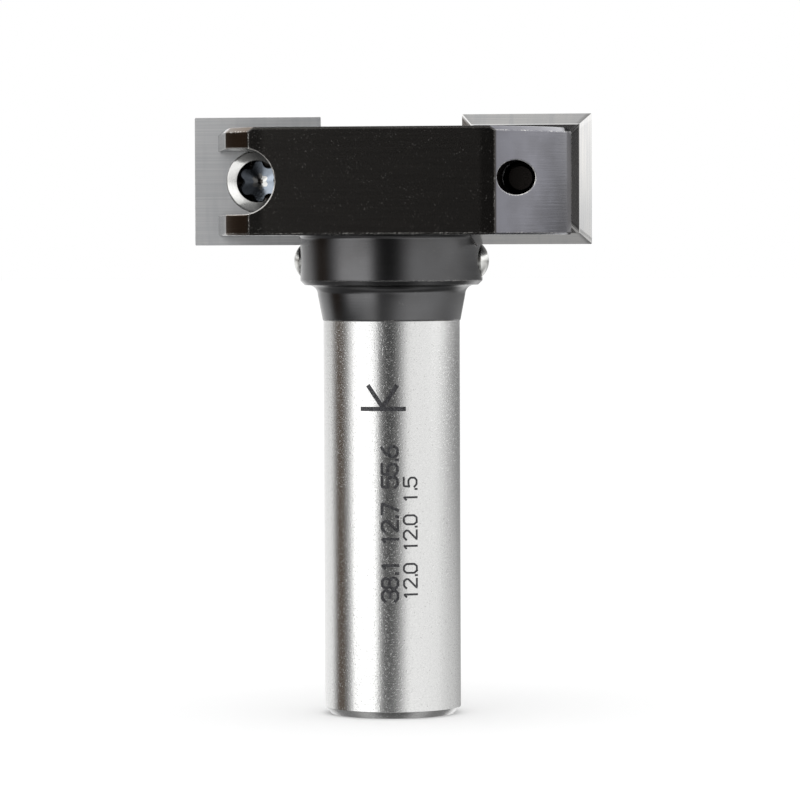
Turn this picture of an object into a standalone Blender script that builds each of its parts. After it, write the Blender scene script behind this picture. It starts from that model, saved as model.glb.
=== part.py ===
"""Surfacing router bit: a turned steel body with two reversible carbide inserts.

Frame: origin at the centre of the shank's end, +Z towards the cutting end, X parallel to the inserts' faces.
The tool turns counter-clockwise seen from +Z and repeats itself after half a turn.
All lengths are in metres.
"""

import math

import bmesh
import bpy
from mathutils import Matrix, Vector

# Shank, neck and collar
SHANK_DIAMETER = 0.0127
SHANK_LENGTH = 0.0366
SHANK_END_CHAMFER = 0.00065
NECK_STEP = 0.00007          # the neck stands proud of the ground shank
NECK_LENGTH = 0.00332
NECK_FLARE = 0.00045         # how much the cone grows in radius up to its fillet
NECK_FILLET = 0.0006
COLLAR_DIAMETER = 0.01695
COLLAR_HEIGHT = 0.0046
COLLAR_CHAMFER = 0.0004
COLLAR_FILLET = 0.00035

# Head
HEAD_HEIGHT = 0.00978
HEAD_CHAMFER = 0.0004        # top rim of the turned wall
WIDTH_ACROSS_FLATS = 0.0272
EDGE_BREAK = 0.00015         # flats and the whole underside
CENTRE_HOLE_DIAMETER = 0.0026
CENTRE_HOLE_DEPTH = 0.0024

# Cutting circle and inserts
CUTTING_DIAMETER = 0.0381
TIP_PROJECTION = 0.00145     # from the head's outer wall to the cutting circle
RAKE_OFFSET = 0.0022         # the cutting face lies this far behind the axis
INSERT_SIZE = 0.012
INSERT_THICKNESS = 0.0015
INSERT_BEVEL = 0.001
INSERT_CORNER = 0.0001
INSERT_PROJECTION = 0.00135  # above the head's top face
INSERT_HOLE_DIAMETER = 0.0042
COUNTERSINK_DIAMETER = 0.00605
COUNTERSINK_DEPTH = 0.0011

# Chip gullets and key slots in front of the cutting faces
GULLET_REVEAL = 0.0022       # cutting face left open outside the prongs
GULLET_ANGLE = math.radians(12.9)
KEY_SLOT_WIDTH = 0.006
KEY_SLOT_SHIFT = 0.0011      # the slot's round end is centred this far inboard of the screw

# Insert screws, with hexalobular recesses
SCREW_HEAD_DIAMETER = 0.0058
SCREW_HEAD_RISE = 0.0003
SCREW_HEAD_RIM = 0.00015
SCREW_THREAD_DIAMETER = 0.003
SCREW_LENGTH = 0.0056
SCREW_TIP_CHAMFER = 0.0004
TAPPED_HOLE_DIAMETER = 0.0033
RECESS_OUTER_DIAMETER = 0.0039
RECESS_INNER_DIAMETER = 0.0028
RECESS_DEPTH = 0.0013
RECESS_LOBES = 6
RECESS_TURN = math.radians(22)

# Cross pin through the collar
PIN_DIAMETER = 0.0029
PIN_LENGTH = 0.01825
PIN_DOME_HEIGHT = 0.0006
PIN_DROP = 0.00235           # pin's axis below the head's underside

# Clearances
SEAT_GAP = 0.0001            # insert against its seat, screw in its countersink
SLOT_CLEARANCE = 0.0003      # room to slide an insert in past the prongs
PIN_GAP = 0.00005

# Smoothness of round shapes
TURNED_STEPS = 96
SMALL_STEPS = 48
FILLET_STEPS = 5
DOME_STEPS = 5
RECESS_STEPS = 72
SHARP_ANGLE = math.radians(28)
OVERSHOOT = 0.001            # how far a cutter runs past the face it opens

SHANK_RADIUS = SHANK_DIAMETER / 2
NECK_RADIUS = SHANK_RADIUS + NECK_STEP
COLLAR_RADIUS = COLLAR_DIAMETER / 2
HEAD_RADIUS = CUTTING_DIAMETER / 2 - TIP_PROJECTION
COLLAR_BOTTOM = SHANK_LENGTH + NECK_LENGTH
HEAD_BOTTOM = COLLAR_BOTTOM + COLLAR_HEIGHT
HEAD_TOP = HEAD_BOTTOM + HEAD_HEIGHT
TIP_X = math.sqrt((CUTTING_DIAMETER / 2) ** 2 - RAKE_OFFSET ** 2)
INSERT_X = TIP_X - INSERT_SIZE / 2
INSERT_Z = HEAD_TOP + INSERT_PROJECTION - INSERT_SIZE / 2
KEY_SLOT_Z = HEAD_BOTTOM + HEAD_HEIGHT / 2
SEAT_Y = RAKE_OFFSET + INSERT_THICKNESS + SEAT_GAP


def clear_scene():
    for item in list(bpy.data.objects):
        bpy.data.objects.remove(item)


def material(name, colour, roughness, metallic):
    finish = bpy.data.materials.new(name)
    finish.use_nodes = True
    shader = finish.node_tree.nodes["Principled BSDF"]
    shader.inputs["Base Color"].default_value = (*colour, 1.0)
    shader.inputs["Roughness"].default_value = roughness
    shader.inputs["Metallic"].default_value = metallic
    return finish


def add_object(name, bm, finish=None):
    """Turns a bmesh into an object whose flat faces stay crisp and whose round ones are smooth."""
    bmesh.ops.remove_doubles(bm, verts=bm.verts, dist=1e-7)
    bmesh.ops.recalc_face_normals(bm, faces=bm.faces)
    mesh = bpy.data.meshes.new(name)
    bm.to_mesh(mesh)
    bm.free()
    mesh.shade_smooth()
    mesh.set_sharp_from_angle(angle=SHARP_ANGLE)
    item = bpy.data.objects.new(name, mesh)
    if finish:
        mesh.materials.append(finish)
    bpy.context.scene.collection.objects.link(item)
    return item


def turned(name, profile, steps, finish=None):
    """Spins a (radius, height) profile, from one pole on the axis to the other, round local Z."""
    bm = bmesh.new()
    corners = [bm.verts.new((radius, 0, height)) for radius, height in profile]
    edges = [bm.edges.new(pair) for pair in zip(corners, corners[1:])]
    bmesh.ops.spin(bm, geom=corners + edges, cent=(0, 0, 0), axis=(0, 0, 1),
                   angle=2 * math.pi, steps=steps, use_merge=True)
    return add_object(name, bm, finish)


def prism(name, outline, depth, place=Matrix()):
    """Extrudes an outline in local XY from z = 0 to z = depth, then moves it to its place."""
    bm = bmesh.new()
    base = bm.faces.new([bm.verts.new((x, y, 0)) for x, y in outline])
    extruded = bmesh.ops.extrude_face_region(bm, geom=[base])["geom"]
    lifted = [part for part in extruded if isinstance(part, bmesh.types.BMVert)]
    bmesh.ops.translate(bm, verts=lifted, vec=(0, 0, depth))
    bmesh.ops.transform(bm, matrix=place, verts=bm.verts)
    return add_object(name, bm)


def arc(centre, radius, start, end, steps):
    """Points on an arc of the XY plane, both ends included."""
    angles = [start + (end - start) * i / steps for i in range(steps + 1)]
    return [(centre[0] + radius * math.cos(a), centre[1] + radius * math.sin(a)) for a in angles]


def combine(target, tool, operation):
    """Adds or cuts one solid with another, and keeps only the result."""
    step = target.modifiers.new(tool.name, "BOOLEAN")
    step.operation = operation
    step.object = tool
    step.solver = "EXACT"
    bpy.context.view_layer.update()
    evaluated = target.evaluated_get(bpy.context.evaluated_depsgraph_get())
    result = bpy.data.meshes.new_from_object(evaluated)
    target.modifiers.clear()
    result.name = target.name
    target.data = result
    bpy.data.objects.remove(tool)


def cut_both_sides(target, tool):
    """Cuts with a tool made for the -X side, and again half a turn round."""
    twin = bpy.data.objects.new(tool.name, tool.data.copy())
    twin.data.transform(Matrix.Rotation(math.pi, 4, "Z"))
    bpy.context.scene.collection.objects.link(twin)
    combine(target, tool, "DIFFERENCE")
    combine(target, twin, "DIFFERENCE")


def finish_mesh(item, finish):
    """Gives a cut solid one material and crisp edges again."""
    item.data.materials.clear()
    item.data.materials.append(finish)
    item.data.shade_smooth()
    item.data.set_sharp_from_angle(angle=SHARP_ANGLE)


def stem_profile():
    """Shank, neck and collar, from the centre hole in the end up to inside the head."""
    hole = CENTRE_HOLE_DIAMETER / 2
    cone_top = NECK_RADIUS + NECK_FLARE
    neck_fillet = arc((cone_top + NECK_FILLET, COLLAR_BOTTOM - NECK_FILLET), NECK_FILLET,
                      math.pi, math.pi / 2, FILLET_STEPS)
    collar_fillet = arc((COLLAR_RADIUS + COLLAR_FILLET, HEAD_BOTTOM - COLLAR_FILLET), COLLAR_FILLET,
                        math.pi, math.pi / 2, FILLET_STEPS)
    inside_head = HEAD_BOTTOM + HEAD_HEIGHT / 2
    return [
        (0, CENTRE_HOLE_DEPTH),
        (hole, 0),
        (SHANK_RADIUS - SHANK_END_CHAMFER, 0),
        (SHANK_RADIUS, SHANK_END_CHAMFER),
        (SHANK_RADIUS, SHANK_LENGTH),
        (NECK_RADIUS, SHANK_LENGTH + NECK_STEP),
        *neck_fillet,
        (COLLAR_RADIUS - COLLAR_CHAMFER, COLLAR_BOTTOM),
        (COLLAR_RADIUS, COLLAR_BOTTOM + COLLAR_CHAMFER),
        *collar_fillet,
        (COLLAR_RADIUS + COLLAR_FILLET, inside_head),
        (0, inside_head),
    ]


def head_outline():
    """Half the head's outline from the end of the front flat, then the same half a turn on."""
    flat_y = WIDTH_ACROSS_FLATS / 2
    flat_angle = math.asin(flat_y / HEAD_RADIUS)
    jog_y = RAKE_OFFSET + INSERT_THICKNESS / 2
    land = arc((0, 0), HEAD_RADIUS, -flat_angle, -math.asin(jog_y / HEAD_RADIUS), 14)
    slope = math.tan(GULLET_ANGLE)
    open_x = TIP_X - GULLET_REVEAL
    facet_start = (open_x + (jog_y - RAKE_OFFSET) * slope, -jog_y)
    # The facet is the line x = offset - slope * y, and it ends where it meets the outer circle.
    offset = open_x - RAKE_OFFSET * slope
    a = 1 + slope ** 2
    b = -2 * offset * slope
    c = offset ** 2 - HEAD_RADIUS ** 2
    end_y = (-b + math.sqrt(b * b - 4 * a * c)) / (2 * a)
    nose = arc((0, 0), HEAD_RADIUS, math.asin(end_y / HEAD_RADIUS), flat_angle, 4)
    half = land + [facet_start] + nose
    return half + [(-x, -y) for x, y in half]


def head_block(name):
    """The head as an extruded outline, with a broad chamfer on the turned top rim and fine ones elsewhere."""
    block = prism(name, head_outline(), HEAD_HEIGHT, Matrix.Translation((0, 0, HEAD_BOTTOM)))
    bm = bmesh.new()
    bm.from_mesh(block.data)
    weight = bm.edges.layers.float.new("bevel_weight_edge")
    flat_y = WIDTH_ACROSS_FLATS / 2
    for edge in bm.edges:
        start, end = (corner.co for corner in edge.verts)
        if abs(start.z - end.z) > HEAD_HEIGHT / 2:
            continue
        on_flat = min(abs(start.y), abs(end.y)) > flat_y * 0.9999
        underneath = start.z < HEAD_BOTTOM + HEAD_HEIGHT / 2
        edge[weight] = EDGE_BREAK / HEAD_CHAMFER if on_flat or underneath else 1.0
    bm.to_mesh(block.data)
    bm.free()
    chamfer = block.modifiers.new("edge chamfer", "BEVEL")
    chamfer.limit_method = "WEIGHT"
    chamfer.width = HEAD_CHAMFER
    chamfer.segments = 1
    return block


def centre_hole():
    """Turning centre in the head's top face."""
    depth = CENTRE_HOLE_DEPTH
    radius = CENTRE_HOLE_DIAMETER / 2
    grow = OVERSHOOT * radius / depth
    hole = turned("centre_hole", [(0, -depth), (radius + grow, OVERSHOOT), (0, OVERSHOOT)], SMALL_STEPS)
    hole.data.transform(Matrix.Translation((0, 0, HEAD_TOP)))
    return hole


def insert_slot():
    """Pocket of one insert: open on top and outwards, with room at the prongs and a floor sloped like the bevel."""
    inner = -(INSERT_X - INSERT_SIZE / 2) + SEAT_GAP
    outer = -(TIP_X + OVERSHOOT)
    front = RAKE_OFFSET - SLOT_CLEARANCE
    bottom = INSERT_Z - INSERT_SIZE / 2 - SEAT_GAP
    top = HEAD_TOP + OVERSHOOT
    back_bottom = bottom + INSERT_BEVEL * (SEAT_Y - RAKE_OFFSET) / INSERT_THICKNESS
    outline = [(front, bottom), (RAKE_OFFSET, bottom), (SEAT_Y, back_bottom), (SEAT_Y, top), (front, top)]
    # Local X, Y and Z run along world Y, Z and X.
    place = Matrix.Translation((outer, 0, 0)) @ Matrix(((0, 0, 1, 0), (1, 0, 0, 0), (0, 1, 0, 0), (0, 0, 0, 1)))
    return prism("insert_slot", outline, inner - outer, place)


def key_slot():
    """Slot through the front of the head that lets the key reach the screw: one round end, open outwards."""
    radius = KEY_SLOT_WIDTH / 2
    end = arc((KEY_SLOT_SHIFT - INSERT_X, KEY_SLOT_Z), radius, -math.pi / 2, math.pi / 2, 20)
    outer = -(HEAD_RADIUS + OVERSHOOT)
    outline = end + [(outer, KEY_SLOT_Z + radius), (outer, KEY_SLOT_Z - radius)]
    back = RAKE_OFFSET - SLOT_CLEARANCE / 2
    depth = back + HEAD_RADIUS + OVERSHOOT
    # Local Z runs along -Y once it is turned about X.
    place = Matrix.Translation((0, back, 0)) @ Matrix.Rotation(math.pi / 2, 4, "X")
    return prism("key_slot", outline, depth, place)


def tapped_hole():
    """Screw hole from the insert's seat out through the land behind it."""
    radius = TAPPED_HOLE_DIAMETER / 2
    start = RAKE_OFFSET + INSERT_THICKNESS / 2
    end = HEAD_RADIUS + OVERSHOOT
    hole = turned("tapped_hole", [(0, start), (radius, start), (radius, end), (0, end)], SMALL_STEPS)
    hole.data.transform(Matrix.Translation((-INSERT_X, 0, INSERT_Z)) @ Matrix.Rotation(-math.pi / 2, 4, "X"))
    return hole


def pin_hole():
    radius = PIN_DIAMETER / 2 + PIN_GAP
    reach = PIN_LENGTH / 2 + OVERSHOOT
    hole = turned("pin_hole", [(0, -reach), (radius, -reach), (radius, reach), (0, reach)], SMALL_STEPS)
    hole.data.transform(Matrix.Translation((0, 0, HEAD_BOTTOM - PIN_DROP)) @ Matrix.Rotation(math.pi / 2, 4, "Y"))
    return hole


def make_body():
    finish = material("black oxide steel", (0.018, 0.017, 0.016), 0.38, 0.9)
    body = turned("cutter_body", stem_profile(), TURNED_STEPS)
    combine(body, head_block("head_block"), "UNION")
    combine(body, centre_hole(), "DIFFERENCE")
    cut_both_sides(body, insert_slot())
    cut_both_sides(body, key_slot())
    cut_both_sides(body, tapped_hole())
    combine(body, pin_hole(), "DIFFERENCE")
    finish_mesh(body, finish)
    return body


def insert_outline(half, corner):
    """A square with small corner chamfers, counter-clockwise."""
    near = half - corner
    return [(near, -half), (half, -near), (half, near), (near, half),
            (-near, half), (-half, near), (-half, -near), (-near, -half)]


def make_insert(name):
    """Square knife: cutting face at local z = 0, four bevels running in to the back, countersunk hole."""
    bm = bmesh.new()
    half = INSERT_SIZE / 2
    face = [bm.verts.new((x, y, 0)) for x, y in insert_outline(half, INSERT_CORNER)]
    back_outline = insert_outline(half - INSERT_BEVEL, INSERT_CORNER)
    back = [bm.verts.new((x, y, -INSERT_THICKNESS)) for x, y in back_outline]
    bm.faces.new(face)
    bm.faces.new(back[::-1])
    for i in range(len(face)):
        j = (i + 1) % len(face)
        bm.faces.new((face[i], back[i], back[j], face[j]))
    insert = add_object(name, bm)
    hole = INSERT_HOLE_DIAMETER / 2
    mouth = COUNTERSINK_DIAMETER / 2
    grow = (mouth - hole) * OVERSHOOT / COUNTERSINK_DEPTH
    below = -INSERT_THICKNESS - OVERSHOOT
    profile = [(0, below), (hole, below), (hole, -COUNTERSINK_DEPTH), (mouth + grow, OVERSHOOT), (0, OVERSHOOT)]
    combine(insert, turned("insert_hole", profile, SMALL_STEPS), "DIFFERENCE")
    finish_mesh(insert, material("ground carbide", (0.36, 0.36, 0.36), 0.3, 1.0))
    return insert


def recess_cutter():
    """Six-lobed key recess with a conical floor."""
    mean = (RECESS_OUTER_DIAMETER + RECESS_INNER_DIAMETER) / 4
    swing = (RECESS_OUTER_DIAMETER - RECESS_INNER_DIAMETER) / 4
    outline = []
    for i in range(RECESS_STEPS):
        angle = 2 * math.pi * i / RECESS_STEPS
        radius = mean + swing * math.cos(RECESS_LOBES * (angle - RECESS_TURN))
        outline.append((radius * math.cos(angle), radius * math.sin(angle)))
    floor = SCREW_HEAD_RISE - RECESS_DEPTH
    bm = bmesh.new()
    rims = [[bm.verts.new((x, y, z)) for x, y in outline] for z in (floor, SCREW_HEAD_RISE + OVERSHOOT)]
    tip = bm.verts.new((0, 0, floor - RECESS_INNER_DIAMETER / 6))
    bm.faces.new(rims[1])
    for i in range(RECESS_STEPS):
        j = (i + 1) % RECESS_STEPS
        bm.faces.new((rims[0][i], rims[0][j], rims[1][j], rims[1][i]))
        bm.faces.new((tip, rims[0][j], rims[0][i]))
    return add_object("screw_recess", bm)


def make_screw(name):
    """Raised countersunk screw, head at local z = 0. The thread is drawn at its root diameter."""
    head = SCREW_HEAD_DIAMETER / 2
    thread = SCREW_THREAD_DIAMETER / 2
    hole = INSERT_HOLE_DIAMETER / 2
    mouth = COUNTERSINK_DIAMETER / 2
    # The head's cone keeps the seat gap to the insert's countersink all the way down.
    seat_slope = (mouth - hole) / COUNTERSINK_DEPTH
    side_gap = SEAT_GAP * math.sqrt(1 + seat_slope ** 2)
    rim_bottom = -(mouth - side_gap - head) / seat_slope
    rim_top = rim_bottom + SCREW_HEAD_RIM
    cone_end = -COUNTERSINK_DEPTH
    neck = hole - side_gap
    key = RECESS_OUTER_DIAMETER / 2
    crown = [(key + (head - key) * t, rim_top + (SCREW_HEAD_RISE - rim_top) * (1 - t ** 1.5))
             for t in (i / DOME_STEPS for i in range(DOME_STEPS, -1, -1))]
    profile = [
        (0, -SCREW_LENGTH),
        (thread - SCREW_TIP_CHAMFER, -SCREW_LENGTH),
        (thread, -SCREW_LENGTH + SCREW_TIP_CHAMFER),
        (thread, -INSERT_THICKNESS),
        (neck, cone_end - (INSERT_THICKNESS - COUNTERSINK_DEPTH) / 2),
        (neck, cone_end),
        (head, rim_bottom),
        *crown,
        (0, SCREW_HEAD_RISE),
    ]
    screw = turned(name, profile, SMALL_STEPS)
    combine(screw, recess_cutter(), "DIFFERENCE")
    finish_mesh(screw, material("screw steel", (0.32, 0.32, 0.34), 0.28, 1.0))
    return screw


def make_pin():
    """Hardened pin with domed ends, lying along X through the collar."""
    radius = PIN_DIAMETER / 2
    straight = PIN_LENGTH / 2 - PIN_DOME_HEIGHT
    dome_radius = (radius ** 2 + PIN_DOME_HEIGHT ** 2) / (2 * PIN_DOME_HEIGHT)
    spread = math.asin(radius / dome_radius)
    dome = [(dome_radius * math.sin(spread * i / DOME_STEPS),
             straight + PIN_DOME_HEIGHT - dome_radius * (1 - math.cos(spread * i / DOME_STEPS)))
            for i in range(DOME_STEPS + 1)]
    profile = [(r, -z) for r, z in dome] + dome[::-1]
    pin = turned("cross_pin", profile, SMALL_STEPS, material("pin steel", (0.55, 0.55, 0.54), 0.15, 1.0))
    pin.location = (0, 0, HEAD_BOTTOM - PIN_DROP)
    pin.rotation_euler = (0, math.pi / 2, 0)
    return pin


def add_station(side, turn):
    """One cutting position: an insert and its screw, facing the direction of cut."""
    station = bpy.data.objects.new("station_" + side, None)
    station.rotation_euler = (0, 0, turn)
    bpy.context.scene.collection.objects.link(station)
    for piece in (make_insert("insert_" + side), make_screw("insert_screw_" + side)):
        piece.parent = station
        piece.location = Vector((-INSERT_X, RAKE_OFFSET, INSERT_Z))
        piece.rotation_euler = (math.pi / 2, 0, 0)


clear_scene()
make_body()
make_pin()
add_station("left", 0.0)
add_station("right", math.pi)
bpy.context.view_layer.update()
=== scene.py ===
import math

import bpy
import numpy as np
from mathutils import Matrix, Vector


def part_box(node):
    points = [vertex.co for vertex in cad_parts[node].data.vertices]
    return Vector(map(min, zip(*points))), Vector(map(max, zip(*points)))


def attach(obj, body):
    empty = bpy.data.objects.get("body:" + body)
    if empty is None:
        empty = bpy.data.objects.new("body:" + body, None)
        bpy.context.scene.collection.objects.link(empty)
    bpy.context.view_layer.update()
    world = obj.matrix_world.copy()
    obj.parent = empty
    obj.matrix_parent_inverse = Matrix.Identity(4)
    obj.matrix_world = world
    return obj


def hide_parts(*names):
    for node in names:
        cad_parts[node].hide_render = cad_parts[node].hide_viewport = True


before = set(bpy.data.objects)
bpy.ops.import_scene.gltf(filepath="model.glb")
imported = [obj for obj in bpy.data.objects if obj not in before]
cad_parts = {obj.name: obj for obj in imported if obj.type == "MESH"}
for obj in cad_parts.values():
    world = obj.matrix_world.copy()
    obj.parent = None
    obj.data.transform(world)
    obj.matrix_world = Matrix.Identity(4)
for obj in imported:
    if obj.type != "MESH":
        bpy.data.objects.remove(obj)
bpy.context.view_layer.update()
print("frame loaded, nodes:", ", ".join(sorted(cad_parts)))

mm = 0.001
fullTurn = 2 * math.pi
pointSize = 1e-9     # a ring smaller than this, in metres, is a pole


# Small helpers for colour, materials and meshes

def toLinear(hexColour):
    # sRGB hex to linear light, one channel at a time
    channels = [int(hexColour[i:i + 2], 16) / 255 for i in (1, 3, 5)]
    return [c / 12.92 if c <= 0.04045 else ((c + 0.055) / 1.055) ** 2.4 for c in channels] + [1.0]


def grey(value):
    return (value, value, value, 1.0)


def addNode(tree, kind, settings=None, inputs=None):
    # one node with its settings, and its inputs given as values or as sockets to link from
    node = tree.nodes.new(kind)
    for name, value in (settings or {}).items():
        setattr(node, name, value)
    for key, value in (inputs or {}).items():
        if isinstance(value, bpy.types.NodeSocket):
            tree.links.new(value, node.inputs[key])
        else:
            node.inputs[key].default_value = value
    return node


def newMaterial(name):
    finish = bpy.data.materials.new(name)
    finish.use_nodes = True
    finish.node_tree.nodes.clear()
    return finish, finish.node_tree


def closeMaterial(tree, shader):
    addNode(tree, "ShaderNodeOutputMaterial", inputs={"Surface": shader})


def closeMetal(tree, colour, roughness, normal=None, metallic=1.0):
    inputs = {"Base Color": colour, "Metallic": metallic, "Roughness": roughness}
    if normal is not None:
        inputs["Normal"] = normal
    closeMaterial(tree, addNode(tree, "ShaderNodeBsdfPrincipled", inputs=inputs).outputs[0])


def setRamp(node, stops):
    # stops are (position, linear colour) pairs
    elements = node.color_ramp.elements
    while len(elements) > 1:
        elements.remove(elements[-1])
    elements[0].position, elements[0].color = stops[0]
    for position, colour in stops[1:]:
        elements.new(position).color = colour


def makePiece(name, points, faces, sharpAngle=30):
    # points is an (n, 3) array in metres, faces a list of index lists
    mesh = bpy.data.meshes.new(name)
    mesh.from_pydata(points.tolist(), [], faces)
    mesh.shade_smooth()
    mesh.set_sharp_from_angle(angle=math.radians(sharpAngle))
    mesh.validate()
    piece = bpy.data.objects.new(name, mesh)
    bpy.context.scene.collection.objects.link(piece)
    return piece


def ringSurface(name, rings, capEnds=False, sharpAngle=30):
    # rings is (rows, columns, 3): each row is one closed loop, counter-clockwise, and the rows run
    # up the outer side. A first or last row that has shrunk to a point becomes one pole vertex.
    # capEnds closes open ends with one face each.
    rows, columns = rings.shape[:2]
    index = np.arange(rows * columns).reshape(rows, columns)
    after = np.roll(index, -1, axis=1)
    quads = np.stack([index[:-1], after[:-1], after[1:], index[1:]], axis=-1)
    spread = np.ptp(rings, axis=1).max(axis=1)
    firstFan, lastFan = [], []
    if spread[0] < pointSize:
        firstFan = np.stack([after[1], index[1], np.full(columns, index[0, 0])], axis=-1).tolist()
        quads = quads[1:]
    if spread[-1] < pointSize:
        lastFan = np.stack([index[-2], after[-2], np.full(columns, index[-1, 0])], axis=-1).tolist()
        quads = quads[:-1]
    faces = quads.reshape(-1, 4).tolist() + firstFan + lastFan
    if capEnds:
        faces += [index[0, ::-1].tolist(), index[-1].tolist()]
    # only the points that a face uses are kept
    points = rings.reshape(-1, 3)
    used = np.unique(np.concatenate(faces))
    renumber = np.zeros(len(points), int)
    renumber[used] = np.arange(len(used))
    return makePiece(name, points[used], [renumber[face].tolist() for face in faces], sharpAngle)


def turnProfile(profile, columns):
    # each (radius, height) in mm swept round Z: x = r cos t, y = r sin t
    profile = np.asarray(profile, float) * mm
    angles = np.arange(columns) * fullTurn / columns
    radius, height = profile[:, 0, None], profile[:, 1, None]
    return np.stack([radius * np.cos(angles), radius * np.sin(angles),
                     height + 0 * angles], axis=-1)


def arcPoints(centre, radius, start, end, steps):
    # points on a circle from one angle to another, both ends included
    t = np.linspace(start, end, steps + 1)
    return np.stack([centre[0] + radius * np.cos(t), centre[1] + radius * np.sin(t)], axis=-1)


def softCorners(points, radii, steps=4):
    # rounds the corners of an open polyline: each corner gives way to an arc tangent to its sides
    points = np.asarray(points, float)
    result = [points[:1]]
    for before, corner, behind, radius in zip(points, points[1:], points[2:], radii):
        a, b = before - corner, behind - corner
        a, b = a / np.linalg.norm(a), b / np.linalg.norm(b)
        half = math.acos(np.clip(a @ b, -1, 1)) / 2
        centre = corner + (a + b) / np.linalg.norm(a + b) * radius / math.sin(half)
        start = corner + a * radius / math.tan(half) - centre
        end = corner + b * radius / math.tan(half) - centre
        opening, closing = math.atan2(start[1], start[0]), math.atan2(end[1], end[0])
        closing = opening + (closing - opening + math.pi) % fullTurn - math.pi
        result.append(arcPoints(centre, radius, opening, closing, steps))
    result.append(points[-1:])
    return np.concatenate(result)


def applyModifiers(piece):
    bpy.context.view_layer.update()
    ready = piece.evaluated_get(bpy.context.evaluated_depsgraph_get())
    mesh = bpy.data.meshes.new_from_object(ready)
    piece.modifiers.clear()
    piece.data = mesh


def combine(piece, tool, operation):
    # exact boolean, applied at once; the tool is used up
    step = piece.modifiers.new(operation, "BOOLEAN")
    step.operation, step.object, step.solver = operation, tool, "EXACT"
    applyModifiers(piece)
    bpy.data.objects.remove(tool)


def placed(piece, matrix):
    piece.data.transform(matrix)
    return piece


def halfTurn(piece):
    # a copy turned half round the tool's axis
    twin = bpy.data.objects.new(piece.name + "Twin", piece.data.copy())
    twin.data.transform(Matrix.Rotation(math.pi, 4, "Z"))
    bpy.context.scene.collection.objects.link(twin)
    return twin


# Body: one steel piece, turned, milled, blackened and then ground on the shank

bodyShape = {
    "shankRadius": 6.35, "shankTop": 36.6, "endChamfer": 0.65, "endEdge": 0.08,
    "neckStep": 0.07, "neckFlare": 0.45, "neckFillet": 0.9,
    "collarRadius": 8.475, "collarBottom": 39.92, "collarChamfer": 0.4, "collarFillet": 0.35,
    "collarEdge": 0.06, "filletSteps": 12, "lap": 0.01,
    "headBottom": 44.52, "headTop": 54.3, "headRadius": 17.6, "landSteps": 32, "noseSteps": 10,
    "topChamfer": 0.4, "flatY": 13.6, "edgeBreak": 0.15,
    "tipX": 18.922, "rakeY": 2.2, "insertSize": 12.0, "insertThick": 1.5, "projection": 1.35,
    "insertBevel": 1.0, "seatGap": 0.1, "slotRoom": 0.3,
    "reveal": 2.2, "gulletAngle": 12.9, "keyWidth": 6.0, "keyShift": 1.1, "keySteps": 48,
    "centreHole": 1.3, "centreDepth": 2.4, "centreEdge": 0.05, "centreColumns": 64,
    "pinRadius": 1.5, "pinZ": 42.17, "pinReach": 10.5, "pinColumns": 96,
    "overrun": 1.0,     # how far a cutting tool goes past the steel
    "columns": 256, "sharpAngle": 20,
}
threadShape = {"minor": 1.57, "major": 2.0, "pitch": 0.7, "gap": 0.05, "mouth": 6.7, "columns": 96}


def headMiddle(shape):
    return (shape["headBottom"] + shape["headTop"]) / 2


def insertPlace():
    # local +Z of an insert or screw points against the feed, local +Y along the tool,
    # and the left insert's cutting face is at local z = 0
    low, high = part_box("insert_left")
    middle = (low + high) / 2
    faceY = high.y - bodyShape["insertThick"] * mm
    return Matrix.Translation((middle.x, faceY, middle.z)) @ Matrix.Rotation(math.pi / 2, 4, "X")


def pinPlace(shape):
    # the pin's local Z lies along X, across the collar
    return Matrix.Translation((0, 0, shape["pinZ"] * mm)) @ Matrix.Rotation(math.pi / 2, 4, "Y")


def stemSurface(shape):
    # turned profile, bottom pole to a pole inside the head
    shankRadius, shankTop, step = shape["shankRadius"], shape["shankTop"], shape["neckStep"]
    collarRadius, collarBottom = shape["collarRadius"], shape["collarBottom"]
    fillet, steps, lap = shape["neckFillet"], shape["filletSteps"], shape["lap"]
    shank = softCorners(
        [(0, shape["centreDepth"]), (shape["centreHole"], 0),
         (shankRadius - shape["endChamfer"], 0), (shankRadius, shape["endChamfer"]),
         (shankRadius, shankTop)],
        [shape["centreEdge"], shape["endEdge"], shape["endEdge"]])
    neck = [(shankRadius + step, shankTop + step)]
    coneTop = shankRadius + step + shape["neckFlare"]
    neckCurve = arcPoints((coneTop + fillet, collarBottom - fillet), fillet,
                          math.pi, math.pi / 2, steps)
    chamfer, curve = shape["collarChamfer"], shape["collarFillet"]
    collar = softCorners(
        [(coneTop + fillet + lap, collarBottom), (collarRadius - chamfer, collarBottom),
         (collarRadius, collarBottom + chamfer),
         (collarRadius, shape["headBottom"] - curve - lap)],
        [shape["collarEdge"], shape["collarEdge"]])
    wide, inside = collarRadius + curve, headMiddle(shape)
    topCurve = arcPoints((wide, shape["headBottom"] - curve), curve, math.pi, math.pi / 2, steps)
    profile = np.concatenate([shank, neck, neckCurve, collar, topCurve,
                              [(wide, inside), (0, inside)]])
    return ringSurface("stem", turnProfile(profile, shape["columns"]))


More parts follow.
